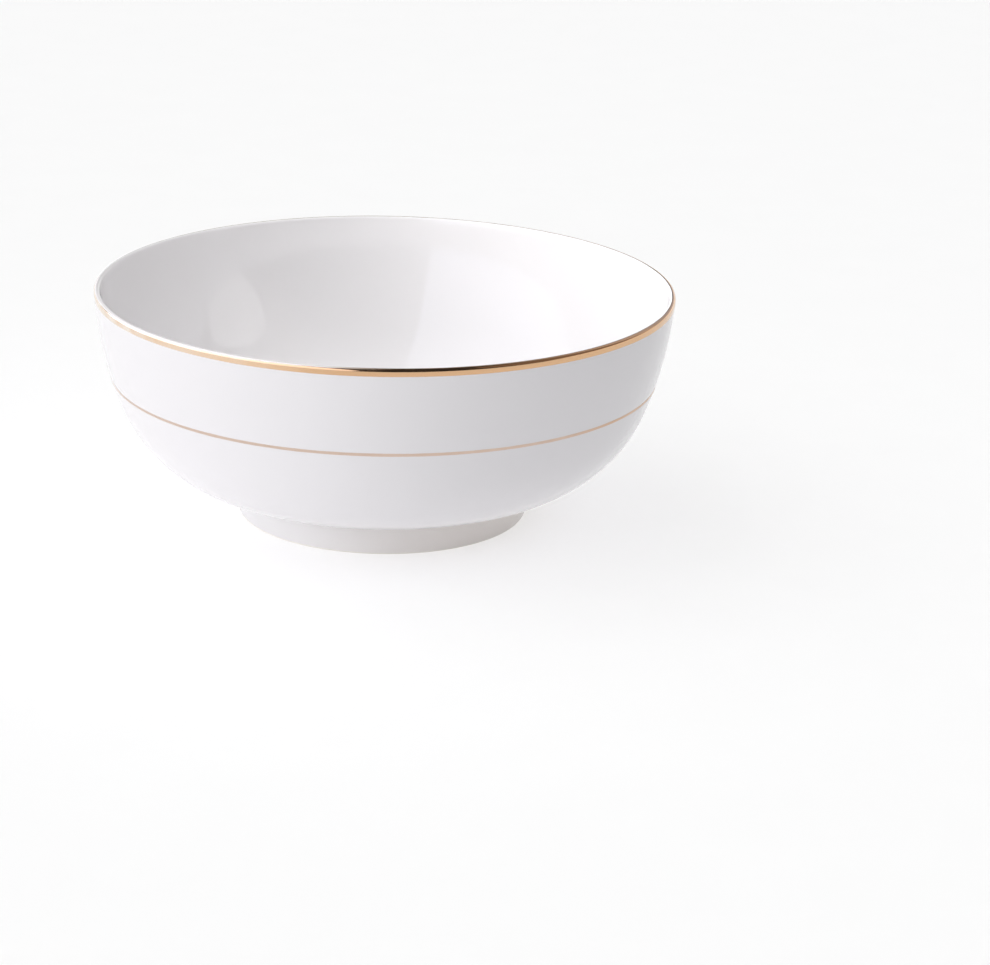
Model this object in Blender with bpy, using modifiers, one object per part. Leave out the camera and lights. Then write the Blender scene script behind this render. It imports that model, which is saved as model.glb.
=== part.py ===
"""Porcelain serving bowl on a low foot ring, with a gold band on its lip and a thin gold line round its side.

Units are metres and +Z is up. The origin is the centre of the foot, on the surface that the bowl stands on.
The bowl's axis is Z. Every piece is a turned shape: a profile in the XZ plane, swept round Z.

The outer wall is four arcs, each tangent to the next. A place on it is given by its lean: the angle, in
degrees, between the wall and the vertical. It is small at the lip and 90 at the centre of the floor.
"""

import math

import bpy

# Overall size
RIM_RADIUS = 0.115
HEIGHT = 0.0925

# Outer wall, from the lip down to the centre of the floor
LIP_LEAN = 4.0
SIDE_RADIUS = 0.150
SIDE_END_LEAN = 21.7
SHOULDER_RADIUS = 0.054
SHOULDER_END_LEAN = 58.5
BELLY_RADIUS = 0.050
FLOOR_EDGE_LEAN = 88.4
FLOOR_CENTRE_LEAN = 90.0

# Wall thickness, which grows steadily from the lip to the floor
LIP_THICKNESS = 0.0024
FLOOR_THICKNESS = 0.0042

# Foot ring
FOOT_OUTER_RADIUS = 0.0577
FOOT_WIDTH = 0.0042
FOOT_EDGE_RADIUS = 0.0008
FOOT_TAPER = 0.0022
FOOT_COVE_RADIUS = 0.0022
FOOT_COVE_TIP = 0.0004

# Gold
GOLD_THICKNESS = 0.00035
RIM_GOLD_DEPTH = 0.0029
RIM_GOLD_TOP_ANGLE = 100.0
LINE_HEIGHT = 0.0575
LINE_WIDTH = 0.0012

# Clearance between pieces that touch
GAP = 0.0003

# How finely the shapes are divided: round the axis, and along each stretch of a profile
TURN_STEPS = 72
SIDE_STEPS = 5
SHOULDER_STEPS = 6
BELLY_STEPS = 5
EDGE_STEPS = 3
BAND_STEPS = 3
SEAT_STEPS = 5
FOOT_TOP_STEPS = 4
MERGE_DISTANCE = 0.00001

LIP_RADIUS = LIP_THICKNESS / 2
SEAT_DEPTH = GOLD_THICKNESS + GAP
CREST_ANGLE = 90.0
QUARTER_TURN = 90.0

# Colour, roughness and metallic value of each material
GLAZED_PORCELAIN = ((0.86, 0.855, 0.865), 0.10, 0.0)
BRIGHT_GOLD = ((0.86, 0.62, 0.30), 0.16, 1.0)
COPPERY_GOLD = ((0.70, 0.50, 0.36), 0.32, 1.0)


def cosine(degrees):
    return math.cos(math.radians(degrees))


def sine(degrees):
    return math.sin(math.radians(degrees))


def spread(first, last, steps):
    """Evenly spaced values from first to last, both included."""
    return [first + (last - first) * i / steps for i in range(steps + 1)]


# --- The outer wall ---------------------------------------------------------------------------------------


def arc_end(start, radius, lean_from, lean_to):
    """Where an arc of the wall ends, as (distance from the axis, height)."""
    return (
        start[0] - radius * (cosine(lean_from) - cosine(lean_to)),
        start[1] - radius * (sine(lean_to) - sine(lean_from)),
    )


def wall_arcs():
    """The wall's arcs from the lip down, each as (start, radius, first lean, last lean)."""
    lip_centre = (RIM_RADIUS - LIP_RADIUS, HEIGHT - LIP_RADIUS)
    start = (
        lip_centre[0] + LIP_RADIUS * cosine(LIP_LEAN),
        lip_centre[1] - LIP_RADIUS * sine(LIP_LEAN),
    )
    arcs = []
    lean = LIP_LEAN
    for radius, last_lean in (
        (SIDE_RADIUS, SIDE_END_LEAN),
        (SHOULDER_RADIUS, SHOULDER_END_LEAN),
        (BELLY_RADIUS, FLOOR_EDGE_LEAN),
    ):
        arcs.append((start, radius, lean, last_lean))
        start = arc_end(start, radius, lean, last_lean)
        lean = last_lean
    # The floor is a shallow arc that reaches the axis level.
    arcs.append((start, start[0] / cosine(lean), lean, FLOOR_CENTRE_LEAN))
    return arcs


ARCS = wall_arcs()


def wall_point(lean, depth):
    """The point this deep inside the outer wall where it has this lean. A negative depth is outside it."""
    start, radius, first_lean, _ = next(arc for arc in reversed(ARCS) if lean >= arc[2])
    across, up = arc_end(start, radius, first_lean, lean)
    return max(across - depth * cosine(lean), 0.0), up + depth * sine(lean)


def lean_at_height(height):
    """The side's lean at this height."""
    start, radius, first_lean, _ = ARCS[0]
    return math.degrees(math.asin(sine(first_lean) + (start[1] - height) / radius))


def lean_at_radius(distance):
    """The wall's lean at this distance from the axis, on the underside."""
    start, radius, first_lean, _ = next(arc for arc in reversed(ARCS) if distance <= arc[0][0])
    return math.degrees(math.acos(cosine(first_lean) - (start[0] - distance) / radius))


def thickness(lean):
    share = (lean - LIP_LEAN) / (FLOOR_CENTRE_LEAN - LIP_LEAN)
    return LIP_THICKNESS + (FLOOR_THICKNESS - LIP_THICKNESS) * share


def lip_point(angle, depth):
    """The point this deep inside the lip's half-round edge, at this angle above the horizontal."""
    radius = LIP_RADIUS - depth
    return (
        RIM_RADIUS - LIP_RADIUS + radius * cosine(angle),
        HEIGHT - LIP_RADIUS + radius * sine(angle),
    )


# --- Profiles, each running down its outer side ----------------------------------------------------------


def body_profile():
    """The bowl from the centre of its floor inside, over the lip and down the outside to the axis."""
    gold_start = RIM_GOLD_TOP_ANGLE + math.degrees(GAP / (LIP_RADIUS - SEAT_DEPTH / 2))
    gold_end = lean_at_height(HEIGHT - RIM_GOLD_DEPTH - GAP)
    line_top = lean_at_height(LINE_HEIGHT + LINE_WIDTH / 2 + GAP)
    line_foot = lean_at_height(LINE_HEIGHT - LINE_WIDTH / 2 - GAP)

    inside = (
        [FLOOR_CENTRE_LEAN]
        + spread(FLOOR_EDGE_LEAN, SHOULDER_END_LEAN, BELLY_STEPS)
        + spread(SHOULDER_END_LEAN, SIDE_END_LEAN, SHOULDER_STEPS)[1:]
        + spread(SIDE_END_LEAN, LIP_LEAN, SIDE_STEPS)[1:]
    )
    points = [wall_point(lean, thickness(lean)) for lean in inside]
    inner_edge = spread(2 * QUARTER_TURN - LIP_LEAN, gold_start, EDGE_STEPS)
    points += [lip_point(angle, 0.0) for angle in inner_edge[1:]]

    # The seat of the gold band, cut back from the lip's crest and outer half
    points += [lip_point(angle, SEAT_DEPTH) for angle in spread(gold_start, -LIP_LEAN, SEAT_STEPS)]
    points += [wall_point(gold_end, SEAT_DEPTH), wall_point(gold_end, 0.0)]

    # The side, with the groove that the gold line lies in
    points += [wall_point(lean, 0.0) for lean in spread(gold_end, line_top, BAND_STEPS)[1:]]
    points += [wall_point(line_top, SEAT_DEPTH), wall_point(line_foot, SEAT_DEPTH)]
    outside = (
        [line_foot, (line_foot + SIDE_END_LEAN) / 2]
        + spread(SIDE_END_LEAN, SHOULDER_END_LEAN, SHOULDER_STEPS)
        + spread(SHOULDER_END_LEAN, FLOOR_EDGE_LEAN, BELLY_STEPS)[1:]
        + [FLOOR_CENTRE_LEAN]
    )
    points += [wall_point(lean, 0.0) for lean in outside]
    return points


def cove(corner, side):
    """The hollow fillet between the foot's wall and its top. Side is 1 outside and -1 inside."""
    return [
        (
            corner[0] + side * FOOT_COVE_RADIUS * (1 - cosine(angle)),
            corner[1] - FOOT_COVE_RADIUS * (1 - sine(angle)),
        )
        for angle in spread(0.0, QUARTER_TURN, EDGE_STEPS)
    ]


def foot_profile():
    """The foot ring: its top follows the bowl's underside and spreads into a cove on each side."""
    outer_base = FOOT_OUTER_RADIUS
    inner_base = FOOT_OUTER_RADIUS - FOOT_WIDTH
    outer_top = outer_base + FOOT_TAPER
    inner_top = inner_base - FOOT_TAPER / 2
    outer_lean = lean_at_radius(outer_top + FOOT_COVE_RADIUS)
    inner_lean = lean_at_radius(inner_top - FOOT_COVE_RADIUS)
    outer_corner = (outer_top, wall_point(outer_lean, -GAP)[1] - FOOT_COVE_TIP)
    inner_corner = (inner_top, wall_point(inner_lean, -GAP)[1] - FOOT_COVE_TIP)

    points = [wall_point(lean, -GAP) for lean in spread(inner_lean, outer_lean, FOOT_TOP_STEPS)]
    points += cove(outer_corner, 1)[::-1]
    for centre_radius, first_angle, last_angle in (
        (outer_base - FOOT_EDGE_RADIUS, 0.0, -QUARTER_TURN),
        (inner_base + FOOT_EDGE_RADIUS, -QUARTER_TURN, -2 * QUARTER_TURN),
    ):
        points += [
            (
                centre_radius + FOOT_EDGE_RADIUS * cosine(angle),
                FOOT_EDGE_RADIUS + FOOT_EDGE_RADIUS * sine(angle),
            )
            for angle in spread(first_angle, last_angle, EDGE_STEPS)
        ]
    points += cove(inner_corner, -1)
    return points


def rim_gold_profile():
    """The gold band, from just inside the lip's crest down to its lower edge on the side, and back up."""
    gold_end = lean_at_height(HEIGHT - RIM_GOLD_DEPTH)
    angles = [RIM_GOLD_TOP_ANGLE] + spread(CREST_ANGLE, 0.0, SEAT_STEPS - 1)
    outer = [lip_point(angle, 0.0) for angle in angles] + [wall_point(gold_end, 0.0)]
    inner = [lip_point(angle, GOLD_THICKNESS) for angle in angles]
    inner += [wall_point(gold_end, GOLD_THICKNESS)]
    return outer + inner[::-1]


def line_profile():
    """The gold line, flush with the side."""
    top = lean_at_height(LINE_HEIGHT + LINE_WIDTH / 2)
    foot = lean_at_height(LINE_HEIGHT - LINE_WIDTH / 2)
    return [
        wall_point(top, 0.0),
        wall_point(foot, 0.0),
        wall_point(foot, GOLD_THICKNESS),
        wall_point(top, GOLD_THICKNESS),
    ]


# --- Objects ---------------------------------------------------------------------------------------------


def clear_scene():
    for item in list(bpy.data.objects):
        bpy.data.objects.remove(item, do_unlink=True)


def make_material(name, finish):
    colour, roughness, metallic = finish
    material = bpy.data.materials.new(name)
    material.use_nodes = True
    shader = material.node_tree.nodes["Principled BSDF"]
    shader.inputs["Base Color"].default_value = (*colour, 1.0)
    shader.inputs["Roughness"].default_value = roughness
    shader.inputs["Metallic"].default_value = metallic
    return material


def make_turned(name, points, closed, finish, collection, parent):
    """A piece turned round Z from its profile. A closed profile is a ring that stands clear of the axis."""
    edges = [(i, i + 1) for i in range(len(points) - 1)]
    if closed:
        edges.append((len(points) - 1, 0))
    mesh = bpy.data.meshes.new(name)
    mesh.from_pydata([(across, 0.0, up) for across, up in points], edges, [])
    piece = bpy.data.objects.new(name, mesh)
    collection.objects.link(piece)
    piece.parent = parent
    mesh.materials.append(make_material(name, finish))

    screw = piece.modifiers.new("Turn", "SCREW")
    screw.axis = "Z"
    screw.angle = math.tau
    screw.steps = TURN_STEPS
    screw.render_steps = TURN_STEPS
    screw.use_merge_vertices = True
    screw.merge_threshold = MERGE_DISTANCE
    screw.use_smooth_shade = True
    return piece


def main():
    clear_scene()
    collection = bpy.data.collections.new("serving_bowl")
    bpy.context.scene.collection.children.link(collection)
    root = bpy.data.objects.new("bowl_axis", None)
    collection.objects.link(root)

    make_turned("bowl_body", body_profile(), False, GLAZED_PORCELAIN, collection, root)
    make_turned("foot_ring", foot_profile(), True, GLAZED_PORCELAIN, collection, root)
    make_turned("rim_gilding", rim_gold_profile(), True, BRIGHT_GOLD, collection, root)
    make_turned("gilt_line", line_profile(), True, COPPERY_GOLD, collection, root)


main()
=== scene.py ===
"""Looks of the porcelain serving bowl: glazed body and foot, fired gold, pale floor, soft studio light."""

import math

import bpy
from mathutils import Euler, Matrix, Vector, noise


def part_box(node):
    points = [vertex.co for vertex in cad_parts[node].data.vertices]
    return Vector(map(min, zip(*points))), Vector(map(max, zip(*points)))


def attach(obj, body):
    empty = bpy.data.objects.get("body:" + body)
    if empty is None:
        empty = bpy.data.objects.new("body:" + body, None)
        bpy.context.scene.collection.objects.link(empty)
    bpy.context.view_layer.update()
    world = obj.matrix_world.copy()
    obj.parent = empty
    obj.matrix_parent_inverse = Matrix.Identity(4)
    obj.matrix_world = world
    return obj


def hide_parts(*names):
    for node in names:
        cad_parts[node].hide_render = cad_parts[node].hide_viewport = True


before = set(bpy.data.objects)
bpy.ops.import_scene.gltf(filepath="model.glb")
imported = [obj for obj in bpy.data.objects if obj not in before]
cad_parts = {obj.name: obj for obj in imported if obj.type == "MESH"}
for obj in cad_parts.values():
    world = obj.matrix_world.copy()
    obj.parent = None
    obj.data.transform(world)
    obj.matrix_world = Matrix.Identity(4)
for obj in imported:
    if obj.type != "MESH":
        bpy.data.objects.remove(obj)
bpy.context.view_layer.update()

MM = 0.001

# Places read from the frame
BODY_LOW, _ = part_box("bowl_body")
GOLD_LOW, GOLD_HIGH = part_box("rim_gilding")
LINE_LOW, LINE_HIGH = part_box("gilt_line")
HEIGHT = GOLD_HIGH.z
RIM_RADIUS = GOLD_HIGH.x
RIM_GOLD_FOOT = GOLD_LOW.z
LINE_HEIGHT = (LINE_LOW.z + LINE_HIGH.z) / 2
LINE_WIDTH = LINE_HIGH.z - LINE_LOW.z

# The outer wall: tangent arcs from the lip down, each with a radius and the lean at which it ends.
# Lean is the angle in degrees between the wall and the vertical.
LIP_THICKNESS = 2.4 * MM
FLOOR_THICKNESS = 4.2 * MM
LIP_RADIUS = LIP_THICKNESS / 2
LIP_LEAN = 4.0
SIDE_RADIUS, SIDE_END_LEAN = 150 * MM, 21.7
SHOULDER_RADIUS, SHOULDER_END_LEAN = 54 * MM, 58.5
BELLY_RADIUS, FLOOR_EDGE_LEAN = 50 * MM, 88.4
FLOOR_CENTRE_LEAN = 90.0

# The foot ring
FOOT_OUTER_RADIUS = 57.7 * MM
FOOT_WIDTH = 4.2 * MM
FOOT_EDGE_RADIUS = 0.8 * MM
FOOT_TAPER = 2.2 * MM
FOOT_COVE_RADIUS = 2.2 * MM
FOOT_SET_IN = 0.5 * MM

# The gold stands this far proud of the glaze, and goes this deep below its own face
GOLD_RELIEF = 0.03 * MM
GOLD_ROOT = 0.12 * MM
# The angle round the lip, up from the outside, at which the rim's band ends
RIM_GOLD_TOP_ANGLE = 100.0
# The line's mean width as a share of the CAD's, which leaves room for it to swell
LINE_FILL = 0.92

# How far the brush wanders, first in slow swells and then in quick ones: at the foot of the rim's band, at its
# top in degrees round the lip, and in the line's width as shares of it. The line itself wanders too.
RIM_FOOT_WANDER = (0.05 * MM, 0.03 * MM)
RIM_TOP_WANDER = (4, 3)
LINE_BREATH = (0.10, 0.08)
LINE_WANDER = 0.04 * MM

# How far firing has pulled the bowl out of true. The oval is turned by so many radians, and the sag is
# towards the back right, so many degrees round from the right.
OVAL_DEPTH = 0.16 * MM
OVAL_TURN = 0.7
RIM_DIP = 0.10 * MM
RIM_SAG = 0.72 * MM
SAG_TOWARDS = 40.0

# Where the glaze thins below the rim, and where it pools above the lowest point of the body
LIP_THINNING = 0.9 * MM
POOL_TOP, POOL_FULL = 3.2 * MM, 1.0 * MM

# The unglazed edge of the foot: its least height, and how far above that it wanders
BARE_HEIGHT = 0.45 * MM
BARE_WANDER = 0.5 * MM

# The gold's painted highlight on the left, where the light comes from: the x where it starts to pale, and
# where its crest starts to turn to white glaze and is white glaze throughout. The white crest fades out
# between these depths below the rim, and in patches a little deeper.
PALE_FROM = -10 * MM
WHITE_CREST_FROM, WHITE_CREST_FULL = 8 * MM, -25 * MM
CREST_LOW, CREST_HIGH = 0.50 * MM, 0.20 * MM
CREST_WANDER = 0.25 * MM

# The camera: where it stands, how it is turned in degrees, and its lens in millimetres
CAMERA_DISTANCE = 1.300
CAMERA_ELEVATION = 19.28
CAMERA_PITCH = 17.13
CAMERA_ROLL = 0.80
SENSOR_WIDTH = 36.0
CAMERA_LENS = 116.8
CAMERA_SHIFT = (0.1126, -0.0987)
CAMERA_CLIP = (0.05, 60)

# The light: the room's by direction, the lamps that light, and the lamps that only show in the gloss
HORIZON_LIGHT = 0.95
ROOM_LIGHT = 0.04
WINDOW_LIGHT = 0.25
LEFT_SUN = 1.82
FRONT_SUN = 0.78
OVERHEAD_SUN = 1.92
BACK_SUN = 1.2
FLOOR_SUN = 1.6
FLOOR_FILL = 1.51
WINDOW_GLINT = 4.0
GOLD_GLINT = 3.4
RIGHT_GLINT = 0.28
PANEL_GLINT = 0.24
BACK_GLINT = 0.32
WHITE = (1.0, 1.0, 1.0)
COOL = (0.94, 0.98, 1.15)
WARM = (1.0, 0.76, 0.60)

# The floor reaches this far each way, and lies a hair below the foot
FLOOR_HALF = 9.0
FLOOR_DROP = 0.05 * MM

# How finely the profiles are cut, and how many steps there are round the axis
FLOOR_ROWS, BELLY_ROWS, SHOULDER_ROWS, SIDE_ROWS, LIP_ROWS = 12, 16, 20, 24, 24
FOOT_TOP_ROWS, COVE_ROWS, FOOT_WALL_ROWS, FOOT_EDGE_ROWS = 8, 10, 6, 8
LIP_BLEND_ROWS = 8
BODY_STEPS = 360
GOLD_STEPS = 1440
SHARP_ANGLE = 40


# --- Small helpers ---------------------------------------------------------------------------------------


def cosine(degrees):
    return math.cos(math.radians(degrees))


def sine(degrees):
    return math.sin(math.radians(degrees))


def spread(first, last, steps):
    """Evenly spaced values from first to last, both included."""
    return [first + (last - first) * i / steps for i in range(steps + 1)]


def ripple(angle, scale, seed):
    """Smooth noise from -1 to 1 round the axis, with about this many swells to the radius.

    The seed picks the pattern."""
    return noise.noise(Vector((math.cos(angle) * scale, math.sin(angle) * scale, seed)))


# --- The wall --------------------------------------------------------------------------------------------


def arc_end(start, radius, lean_from, lean_to):
    return (
        start[0] - radius * (cosine(lean_from) - cosine(lean_to)),
        start[1] - radius * (sine(lean_to) - sine(lean_from)),
    )


def wall_arcs():
    """The wall's arcs from the lip down, each as (start, radius, first lean)."""
    start = (
        RIM_RADIUS - LIP_RADIUS + LIP_RADIUS * cosine(LIP_LEAN),
        HEIGHT - LIP_RADIUS - LIP_RADIUS * sine(LIP_LEAN),
    )
    lean = LIP_LEAN
    arcs = []
    for radius, last_lean in (
        (SIDE_RADIUS, SIDE_END_LEAN),
        (SHOULDER_RADIUS, SHOULDER_END_LEAN),
        (BELLY_RADIUS, FLOOR_EDGE_LEAN),
    ):
        arcs.append((start, radius, lean))
        start = arc_end(start, radius, lean, last_lean)
        lean = last_lean
    arcs.append((start, start[0] / cosine(lean), lean))
    return arcs


ARCS = wall_arcs()


def wall_point(lean, depth):
    """The point this deep inside the outer wall where it has this lean."""
    start, radius, first_lean = next(arc for arc in reversed(ARCS) if lean >= arc[2])
    across, up = arc_end(start, radius, first_lean, lean)
    return max(across - depth * cosine(lean), 0.0), up + depth * sine(lean)


def lean_at_height(height):
    start, radius, first_lean = ARCS[0]
    return math.degrees(math.asin(sine(first_lean) + (start[1] - height) / radius))


def lean_at_radius(distance):
    start, radius, first_lean = next(arc for arc in reversed(ARCS) if distance <= arc[0][0])
    return math.degrees(math.acos(cosine(first_lean) - (start[0] - distance) / radius))


def thickness(lean):
    share = (lean - LIP_LEAN) / (FLOOR_CENTRE_LEAN - LIP_LEAN)
    return LIP_THICKNESS + (FLOOR_THICKNESS - LIP_THICKNESS) * share


def lip_point(angle, depth):
    radius = LIP_RADIUS - depth
    return (
        RIM_RADIUS - LIP_RADIUS + radius * cosine(angle),
        HEIGHT - LIP_RADIUS + radius * sine(angle),
    )


def as_fired(across, up, angle):
    """A point of the turned shape moved by the slight warp of firing, which grows towards the rim.

    The oval and the dip grow with the square of the height, and the sag with its fourth power."""
    share = (up / HEIGHT) ** 2
    oval = OVAL_DEPTH * share * (1 + math.cos(2 * angle + OVAL_TURN)) / 2
    dip = RIM_DIP * share * (1 + math.sin(3 * angle)) / 2
    sag = RIM_SAG * share ** 2 * (1 + math.cos(angle - math.radians(SAG_TOWARDS))) / 2
    reach = across * (1 - oval / RIM_RADIUS)
    return reach * math.cos(angle), reach * math.sin(angle), up - dip - sag


# --- Profiles --------------------------------------------------------------------------------------------


def body_profile():
    """From the centre of the floor inside, over the lip, down the outside, to the axis underneath."""
    leans = spread(FLOOR_CENTRE_LEAN, FLOOR_EDGE_LEAN, FLOOR_ROWS)
    leans += spread(FLOOR_EDGE_LEAN, SHOULDER_END_LEAN, BELLY_ROWS)[1:]
    leans += spread(SHOULDER_END_LEAN, SIDE_END_LEAN, SHOULDER_ROWS)[1:]
    leans += spread(SIDE_END_LEAN, LIP_LEAN, SIDE_ROWS)[1:]
    points = [wall_point(lean, thickness(lean)) for lean in leans]
    points += [lip_point(angle, GOLD_RELIEF) for angle in spread(180 - LIP_LEAN, -LIP_LEAN, LIP_ROWS)[1:]]
    points += [wall_point(lean, GOLD_RELIEF) for lean in leans[::-1][1:]]
    return points


def inside_share(profile):
    """For each point of the body's profile, 1 inside the bowl and 0 outside, changing on the lip's crest."""
    crest = max(range(len(profile)), key=lambda row: profile[row][1])
    return [min(max((crest - row) / LIP_BLEND_ROWS + 0.5, 0.0), 1.0) for row in range(len(profile))]


def cove_arc(base_radius, side):
    """The hollow fillet from the foot's wall to the belly: the lean where it meets the belly, and its points
    from the wall up. Side is 1 on the outside and -1 on the inside."""
    lean = lean_at_radius(base_radius + side * FOOT_COVE_RADIUS)
    for _ in range(4):
        lean = lean_at_radius(base_radius + side * FOOT_COVE_RADIUS * (1 - cosine(lean)))
    top = wall_point(lean, GOLD_RELIEF)
    centre = (base_radius + side * FOOT_COVE_RADIUS, top[1] - FOOT_COVE_RADIUS * sine(lean))
    return lean, [
        (
            centre[0] - side * FOOT_COVE_RADIUS * cosine(angle),
            centre[1] + FOOT_COVE_RADIUS * sine(angle),
        )
        for angle in spread(0, lean, COVE_ROWS)
    ]


def foot_profile():
    """A closed ring, with its top set into the belly and a cove on each side from its wall to the belly."""
    outer_base, inner_base = FOOT_OUTER_RADIUS, FOOT_OUTER_RADIUS - FOOT_WIDTH
    outer_lean, outer_cove = cove_arc(outer_base + FOOT_TAPER, 1)
    inner_lean, inner_cove = cove_arc(inner_base - FOOT_TAPER / 2, -1)
    points = [wall_point(lean, FOOT_SET_IN) for lean in spread(inner_lean, outer_lean, FOOT_TOP_ROWS)]
    points += outer_cove[::-1]
    across, up = outer_cove[0]
    points += [
        (across + (outer_base - across) * share, up + (FOOT_EDGE_RADIUS - up) * share)
        for share in spread(0, 1, FOOT_WALL_ROWS)[1:-1]
    ]
    for centre, first, last in (
        (outer_base - FOOT_EDGE_RADIUS, 0, -90),
        (inner_base + FOOT_EDGE_RADIUS, -90, -180),
    ):
        points += [
            (centre + FOOT_EDGE_RADIUS * cosine(angle), FOOT_EDGE_RADIUS * (1 + sine(angle)))
            for angle in spread(first, last, FOOT_EDGE_ROWS)
        ]
    points += inner_cove
    return points


def rim_gold_profile(angle):
    """The band's section at this angle: its edges wander a little, as a brush leaves them."""
    slow, quick = RIM_FOOT_WANDER
    low = RIM_GOLD_FOOT + slow * ripple(angle, 9, 3.1) + quick * ripple(angle, 60, 8.2)
    slow, quick = RIM_TOP_WANDER
    high = RIM_GOLD_TOP_ANGLE + slow * ripple(angle, 11, 5.4) + quick * ripple(angle, 70, 1.7)
    foot_lean = lean_at_height(low)
    outer = [lip_point(a, 0) for a in spread(high, -LIP_LEAN, 12)]
    outer += [wall_point(lean, 0) for lean in spread(LIP_LEAN, foot_lean, 6)[1:]]
    inner = [wall_point(lean, GOLD_ROOT) for lean in (foot_lean, LIP_LEAN)]
    inner += [lip_point(a, GOLD_ROOT) for a in spread(-LIP_LEAN, high, 4)[1:]]
    return outer + inner


def line_profile(angle):
    """The line's section at this angle: its width breathes a little."""
    middle = LINE_HEIGHT + LINE_WANDER * ripple(angle, 4, 2.6)
    slow, quick = LINE_BREATH
    half = LINE_WIDTH / 2 * (LINE_FILL + slow * ripple(angle, 14, 6.3) + quick * ripple(angle, 80, 9.9))
    top, foot = lean_at_height(middle + half), lean_at_height(middle - half)
    outer = [wall_point(lean, 0) for lean in spread(top, foot, 4)]
    return outer + [wall_point(foot, GOLD_ROOT), wall_point(top, GOLD_ROOT)]


# --- Turning a profile into a mesh -----------------------------------------------------------------------


def turned(name, profile_at, steps, to_axis=False, marks=None):
    """A closed mesh turned round Z.

    profile_at gives the section at an angle, and to_axis says that it starts and ends on Z. marks holds a
    number for each point of the profile, which the material reads as "inside"."""
    rings = [profile_at(math.tau * i / steps) for i in range(steps)]
    count = len(rings[0])
    inner_rows = range(1, count - 1) if to_axis else range(count)
    width = len(inner_rows)
    points = [
        as_fired(*ring[row], math.tau * i / steps) for i, ring in enumerate(rings) for row in inner_rows
    ]
    faces = []
    for i in range(steps):
        here, there = i * width, ((i + 1) % steps) * width
        for row in range(width - 1 if to_axis else width):
            after = (row + 1) % width
            faces.append((here + row, here + after, there + after, there + row))
    if to_axis:
        for row, ring_row in ((0, 0), (count - 1, width - 1)):
            pole = len(points)
            points.append((0.0, 0.0, rings[0][row][1]))
            for i in range(steps):
                here, there = i * width + ring_row, ((i + 1) % steps) * width + ring_row
                faces.append((pole, here, there) if row == 0 else (pole, there, here))
    mesh = bpy.data.meshes.new(name)
    mesh.from_pydata(points, [], faces)
    if marks:
        values = [marks[row] for _ in range(steps) for row in inner_rows] + [marks[0], marks[-1]]
        mesh.attributes.new("inside", "FLOAT", "POINT").data.foreach_set("value", values)
    mesh.shade_smooth()
    mesh.set_sharp_from_angle(angle=math.radians(SHARP_ANGLE))
    piece = bpy.data.objects.new(name, mesh)
    bpy.context.scene.collection.objects.link(piece)
    return piece


# --- Materials -------------------------------------------------------------------------------------------


def colour(red, green, blue):
    return (red, green, blue, 1.0)


# A pair is the two ends of a variation over the surface
# The outside and the inside are one glaze: the outside is set darker as painted shade, the inside lighter as
# painted light
SHADED_OUTER_GLAZE = colour(0.738, 0.723, 0.745), colour(0.718, 0.705, 0.728)
LIT_INNER_GLAZE = colour(0.888, 0.873, 0.880), colour(0.872, 0.858, 0.866)
THIN_GLAZE = colour(0.90, 0.885, 0.87)
POOLED_GLAZE = colour(0.80, 0.81, 0.81)
# The foot's glaze is set darker than the body's, as painted shade under the belly
SHADED_FOOT_GLAZE = colour(0.695, 0.684, 0.698), colour(0.675, 0.665, 0.680)
# A warm tint for the right of the foot, painted in as warm shade
WARM_SHADE_GLAZE = colour(0.765, 0.715, 0.685)
BARE_CLAY = colour(0.80, 0.77, 0.73), colour(0.66, 0.63, 0.60)
RIM_GOLD = colour(0.87, 0.565, 0.32), colour(0.745, 0.46, 0.25)
LINE_GOLD = colour(0.665, 0.525, 0.44), colour(0.59, 0.445, 0.36)
# A deeper gold for the painted shade on the right
SHADE_GOLD = colour(0.60, 0.375, 0.222)
# A pale gold for the painted highlight on the left
HIGHLIGHT_GOLD = colour(0.93, 0.83, 0.73)
# White glaze on the left crest, a painted highlight in place of the gold
CREST_HIGHLIGHT_GLAZE = colour(0.80, 0.775, 0.79)
FLOOR_PAPER = colour(0.90, 0.90, 0.90), colour(0.885, 0.885, 0.885)


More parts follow.
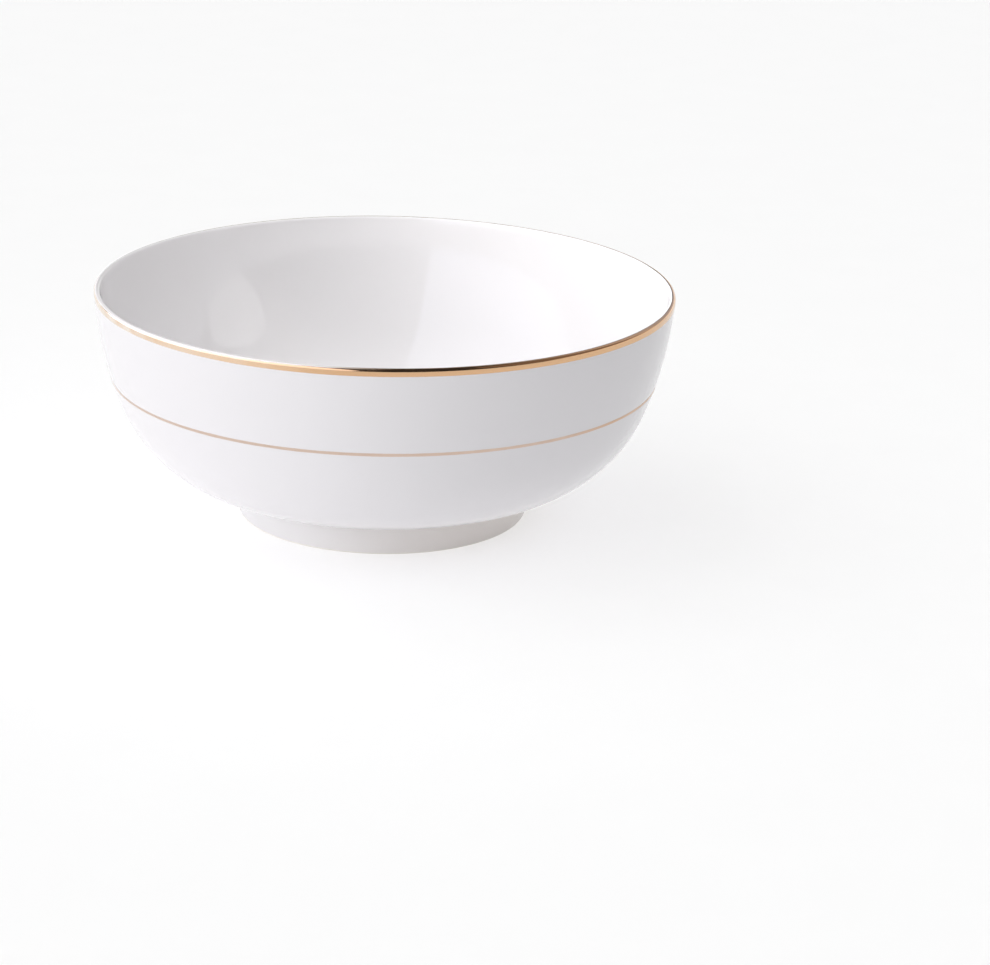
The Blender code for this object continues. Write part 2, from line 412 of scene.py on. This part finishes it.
class Shader:
    """A node tree being wired up, with the few kinds of node that the materials share.

    Lengths are in metres, and a noise's scale is per metre."""

    def __init__(self, name):
        self.material = bpy.data.materials.new(name)
        self.material.use_nodes = True
        self.nodes = self.material.node_tree.nodes
        self.links = self.material.node_tree.links
        self.surface = self.nodes["Principled BSDF"]
        self.place = self.nodes.new("ShaderNodeTexCoord").outputs["Object"]

    def link(self, source, target):
        if isinstance(source, (int, float, tuple)):
            target.default_value = source
        else:
            self.links.new(source, target)

    def math(self, operation, a, b=0.0, c=0.0):
        node = self.nodes.new("ShaderNodeMath")
        node.operation = operation
        for value, socket in zip((a, b, c), node.inputs):
            self.link(value, socket)
        return node.outputs[0]

    def noise(self, scale, detail=2.0, roughness=0.5, vector=None):
        node = self.nodes.new("ShaderNodeTexNoise")
        self.link(vector or self.place, node.inputs["Vector"])
        node.inputs["Scale"].default_value = scale
        node.inputs["Detail"].default_value = detail
        node.inputs["Roughness"].default_value = roughness
        return node.outputs["Fac"]

    def ramp(self, value, low, high, to_low=0.0, to_high=1.0):
        node = self.nodes.new("ShaderNodeMapRange")
        node.interpolation_type = "SMOOTHSTEP"
        for source, key in zip(
            (value, low, high, to_low, to_high), ("Value", "From Min", "From Max", "To Min", "To Max")
        ):
            self.link(source, node.inputs[key])
        return node.outputs["Result"]

    def mix(self, factor, a, b):
        node = self.nodes.new("ShaderNodeMix")
        node.data_type = "RGBA"
        self.link(factor, node.inputs["Factor"])
        self.link(a, node.inputs[6])
        self.link(b, node.inputs[7])
        return node.outputs[2]

    def bump(self, height, strength, distance, under=None):
        node = self.nodes.new("ShaderNodeBump")
        node.inputs["Strength"].default_value = strength
        node.inputs["Distance"].default_value = distance
        self.link(height, node.inputs["Height"])
        if under is not None:
            self.link(under, node.inputs["Normal"])
        return node.outputs["Normal"]

    def attribute(self, name):
        node = self.nodes.new("ShaderNodeAttribute")
        node.attribute_name = name
        return node.outputs["Fac"]

    def xyz(self):
        node = self.nodes.new("ShaderNodeSeparateXYZ")
        self.link(self.place, node.inputs[0])
        return node.outputs

    def round_the_axis(self, turns, stretch):
        """Coordinates that run round the axis, so that a noise read in them is drawn out into streaks."""
        x, y, z = self.xyz()
        angle = self.math("ARCTAN2", y, x)
        node = self.nodes.new("ShaderNodeCombineXYZ")
        self.link(self.math("MULTIPLY", self.math("COSINE", angle), turns), node.inputs[0])
        self.link(self.math("MULTIPLY", self.math("SINE", angle), turns), node.inputs[1])
        self.link(self.math("MULTIPLY", z, stretch), node.inputs[2])
        return node.outputs[0]

    def finish(self, colour, roughness, normal):
        self.link(colour, self.surface.inputs["Base Color"])
        self.link(roughness, self.surface.inputs["Roughness"])
        self.link(normal, self.surface.inputs["Normal"])
        return self.material


def glaze_bump(shader):
    """The glaze's slow swells and its fine skin."""
    swell = shader.bump(shader.noise(38, 1.0), 0.25, 0.12 * MM)
    return shader.bump(shader.noise(620, 2.0), 0.10, 0.01 * MM, swell)


def make_body_porcelain():
    shader = Shader("body_porcelain")
    _, _, z = shader.xyz()
    inside = shader.attribute("inside")
    cloud = shader.noise(14, 3.0)
    # Painted light and shade: the inside takes the lighter copy of the glaze, the outside the darker one
    tone = shader.mix(inside, shader.mix(cloud, *SHADED_OUTER_GLAZE), shader.mix(cloud, *LIT_INNER_GLAZE))
    # Glaze draws back from the lip and gathers above the foot.
    lip = shader.ramp(z, HEIGHT - LIP_THINNING, HEIGHT)
    tone = shader.mix(shader.math("MULTIPLY", lip, 0.5), tone, THIN_GLAZE)
    pool = shader.ramp(z, BODY_LOW.z + POOL_TOP, BODY_LOW.z + POOL_FULL)
    tone = shader.mix(shader.math("MULTIPLY", pool, 0.25), tone, POOLED_GLAZE)
    roughness = shader.ramp(shader.noise(90, 4.0), 0.35, 0.70, 0.03, 0.07)
    return shader.finish(tone, roughness, glaze_bump(shader))


def make_foot_porcelain():
    shader = Shader("foot_porcelain")
    x, _, z = shader.xyz()
    edge = shader.math("MULTIPLY_ADD", shader.noise(260, 3.0), BARE_WANDER, BARE_HEIGHT)
    bare = shader.math("LESS_THAN", z, edge)
    # Painted warm shade: the glaze on the right of the foot is warmed, on its side away from the light.
    warm_shade = shader.ramp(x, -FOOT_OUTER_RADIUS, FOOT_OUTER_RADIUS, 0.0, 0.9)
    # Painted shade: the foot's glaze is a darker copy of the body's.
    glazed = shader.mix(warm_shade, shader.mix(shader.noise(18, 3.0), *SHADED_FOOT_GLAZE), WARM_SHADE_GLAZE)
    tone = shader.mix(bare, glazed, shader.mix(shader.noise(900, 3.0), *BARE_CLAY))
    roughness = shader.ramp(bare, 0.0, 1.0, 0.09, 0.75)
    grit = shader.math("MULTIPLY", shader.noise(1800, 3.0), bare)
    return shader.finish(tone, roughness, shader.bump(grit, 0.5, 0.08 * MM, glaze_bump(shader)))


def make_gold(name, tones, roughness_range, streak, highlight, shade_side):
    """Fired gold: brush streaks round the axis, fine pits, a painted highlight that pales it towards the left,
    and painted shade that deepens its colour towards the right.

    streak is the depth of the brush marks. The fifth argument is how pale the painted highlight makes the
    left, and the last gives the x where the painted shade on the right starts and where it is complete."""
    shader = Shader(name)
    x, _, z = shader.xyz()
    streaks = shader.noise(1.0, 4.0, 0.6, shader.round_the_axis(14, 5200))
    patches = shader.noise(120, 3.0)
    # Painted highlight: the gold pales towards the left, in patches.
    pale_highlight = shader.math("MULTIPLY", shader.ramp(x, PALE_FROM, -RIM_RADIUS, 0.0, highlight), patches)
    # Painted shade: the gold deepens in colour towards the right, standing in for the dark it reflects on that
    # side.
    right_shade = shader.math("MULTIPLY", shader.ramp(x, *shade_side), 0.6)
    film = shader.mix(right_shade, shader.mix(streaks, *tones), SHADE_GOLD)
    # Painted highlight: on the left the crest of the lip turns from gold film to white glaze, along the lit
    # crest.
    ragged = shader.math("MULTIPLY_ADD", patches, CREST_WANDER, z)
    crest = shader.ramp(ragged, HEIGHT - CREST_LOW, HEIGHT - CREST_HIGH)
    white_crest = shader.math("MULTIPLY", crest, shader.ramp(x, WHITE_CREST_FROM, WHITE_CREST_FULL))
    tone = shader.mix(white_crest, shader.mix(pale_highlight, film, HIGHLIGHT_GOLD), CREST_HIGHLIGHT_GLAZE)
    shader.link(shader.math("SUBTRACT", 1.0, white_crest), shader.surface.inputs["Metallic"])
    roughness = shader.ramp(shader.math("ADD", streaks, patches), 0.75, 1.25, *roughness_range)
    relief = shader.bump(streaks, streak, 0.01 * MM)
    pits = shader.bump(shader.noise(2600, 2.0), 0.15, 0.006 * MM, relief)
    return shader.finish(tone, roughness, pits)


def make_floor_material():
    shader = Shader("floor_paper")
    tone = shader.mix(shader.noise(30, 4.0), *FLOOR_PAPER)
    roughness = shader.ramp(shader.noise(200, 2.0), 0.3, 0.7, 0.75, 0.9)
    return shader.finish(tone, roughness, shader.bump(shader.noise(900, 2.0), 0.1, 0.05 * MM))


# --- Pieces ----------------------------------------------------------------------------------------------


def add_piece(piece, material, node):
    piece.data.materials.append(material)
    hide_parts(node)
    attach(piece, "root")
    return piece


def build_bowl():
    body, foot = body_profile(), foot_profile()
    # Each gold's last two numbers: how pale its painted highlight on the left gets, and the x span of its
    # painted shade on the right
    rim_gold = make_gold("rim_gold", RIM_GOLD, (0.08, 0.20), 0.25, 1.6, (-60 * MM, -10 * MM))
    line_gold = make_gold("line_gold", LINE_GOLD, (0.30, 0.45), 0.35, 0.5, (60 * MM, 95 * MM))
    shell = turned("bowl_shell", lambda _: body, BODY_STEPS, to_axis=True, marks=inside_share(body))
    ring = turned("turned_foot", lambda _: foot, BODY_STEPS)
    band = turned("gold_band", rim_gold_profile, GOLD_STEPS)
    line = turned("gold_line", line_profile, GOLD_STEPS)
    return [
        add_piece(shell, make_body_porcelain(), "bowl_body"),
        add_piece(ring, make_foot_porcelain(), "foot_ring"),
        add_piece(band, rim_gold, "rim_gilding"),
        add_piece(line, line_gold, "gilt_line"),
    ]


# --- Setting ---------------------------------------------------------------------------------------------


def add_floor():
    mesh = bpy.data.meshes.new("floor")
    corners = [(x * FLOOR_HALF, y * FLOOR_HALF, 0) for x, y in ((-1, -1), (1, -1), (1, 1), (-1, 1))]
    mesh.from_pydata(corners, [], [(0, 1, 2, 3)])
    floor = bpy.data.objects.new("floor", mesh)
    floor.location.z = -FLOOR_DROP
    bpy.context.scene.collection.objects.link(floor)
    mesh.materials.append(make_floor_material())
    return floor


def add_world():
    """The room round the bowl, as light by direction: a large soft window on the left, the pale sweep of the
    backdrop near the horizon except behind the photographer, and a dim room elsewhere.

    East, north and up are parts of the direction looked in, each from -1 to 1."""
    world = bpy.data.worlds.new("studio")
    bpy.context.scene.world = world
    world.use_nodes = True
    nodes, links = world.node_tree.nodes, world.node_tree.links
    split = nodes.new("ShaderNodeSeparateXYZ")
    links.new(nodes.new("ShaderNodeTexCoord").outputs["Generated"], split.inputs[0])
    east, north, up = split.outputs

    def arithmetic(operation, a, b):
        node = nodes.new("ShaderNodeMath")
        node.operation = operation
        for value, socket in ((a, node.inputs[0]), (b, node.inputs[1])):
            if isinstance(value, float):
                socket.default_value = value
            else:
                links.new(value, socket)
        return node.outputs[0]

    def fade(value, start, end, strength):
        """From 0 at the start to strength at the end."""
        node = nodes.new("ShaderNodeMapRange")
        node.interpolation_type = "SMOOTHSTEP"
        for key, number in (("From Min", start), ("From Max", end), ("To Min", 0.0), ("To Max", strength)):
            node.inputs[key].default_value = number
        links.new(value, node.inputs["Value"])
        return node.outputs["Result"]

    window = arithmetic("MULTIPLY", fade(east, -0.15, -0.33, WINDOW_LIGHT), fade(north, 0.80, 0.62, 1.0))
    horizon = arithmetic("MULTIPLY", fade(up, 0.21, 0.13, HORIZON_LIGHT), fade(north, -0.5, -0.2, 1.0))
    strength = arithmetic("ADD", arithmetic("MAXIMUM", window, horizon), ROOM_LIGHT)
    links.new(strength, nodes["Background"].inputs["Strength"])
    nodes["Background"].inputs["Color"].default_value = (1.0, 0.995, 1.0, 1.0)


def add_sun(name, towards, strength, spread_angle, lights, glint=False, shadows=True, tint=WHITE):
    """A wide soft lamp that lights one group of objects.

    It lights without showing in the gloss, or as a glint it shows in the gloss alone. A lamp without shadows
    also goes without multiple importance sampling, because that would shade it in part."""
    data = bpy.data.lights.new(name, "SUN")
    data.energy = strength
    data.color = tint
    data.angle = math.radians(spread_angle)
    data.use_shadow = shadows
    data.cycles.use_multiple_importance_sampling = shadows
    lamp = bpy.data.objects.new(name, data)
    lamp.rotation_euler = Vector(towards).to_track_quat("-Z", "Y").to_euler()
    lamp.visible_glossy = glint
    lamp.visible_diffuse = not glint
    lamp.light_linking.receiver_collection = lights
    bpy.context.scene.collection.objects.link(lamp)


def lit_group(name, pieces):
    group = bpy.data.collections.new(name)
    for piece in pieces:
        group.objects.link(piece)
    return group


def add_lights(pieces, floor):
    """The studio's lamps. Each one's direction is the way that its light travels."""
    add_world()
    ware, ground = lit_group("ware", pieces), lit_group("ground", [floor])
    glaze, gilding = lit_group("glaze", pieces[:2]), lit_group("gilding", pieces[2:])
    add_sun("from_left", (0.94, 0.34, -0.17), LEFT_SUN, 40, ware)
    add_sun("from_front", (0.15, 1.0, -0.40), FRONT_SUN, 70, ware)
    add_sun("overhead", (0.05, 0.05, -1.0), OVERHEAD_SUN, 60, ware)
    add_sun("from_back", (0.10, -1.0, -0.60), BACK_SUN, 70, ware)
    add_sun("on_floor", (0.05, 0.05, -1.0), FLOOR_SUN, 120, ground)
    add_sun("floor_fill", (0.0, 0.0, -1.0), FLOOR_FILL, 120, ground, shadows=False)
    add_sun("window", (0.980, -0.134, -0.143), WINDOW_GLINT, 156, glaze, glint=True, tint=COOL)
    add_sun("window_on_gold", (0.94, 0.30, -0.15), GOLD_GLINT, 122, gilding, glint=True, tint=COOL)
    add_sun("right_wall", (-0.90, 0.0, -0.43), RIGHT_GLINT, 84, ware, glint=True, tint=WARM)
    add_sun("right_panel", (-0.907, 0.295, -0.301), PANEL_GLINT, 28, glaze, glint=True)
    add_sun("back_wall", (-0.45, -0.75, -0.50), BACK_GLINT, 54, gilding, glint=True, tint=COOL)


def add_camera():
    data = bpy.data.cameras.new("camera")
    data.sensor_width = SENSOR_WIDTH
    data.lens = CAMERA_LENS
    data.shift_x, data.shift_y = CAMERA_SHIFT
    data.clip_start, data.clip_end = CAMERA_CLIP
    camera = bpy.data.objects.new("camera", data)
    level = Euler((math.radians(90 - CAMERA_PITCH), 0, 0)).to_matrix()
    turn = level @ Matrix.Rotation(math.radians(CAMERA_ROLL), 3, "Z")
    camera.rotation_euler = turn.to_euler()
    camera.location = (
        0,
        -CAMERA_DISTANCE * cosine(CAMERA_ELEVATION),
        CAMERA_DISTANCE * sine(CAMERA_ELEVATION),
    )
    bpy.context.scene.collection.objects.link(camera)
    bpy.context.scene.camera = camera


ware = build_bowl()
floor = add_floor()
add_lights(ware, floor)
add_camera()
bpy.context.scene.view_settings.view_transform = "Standard"
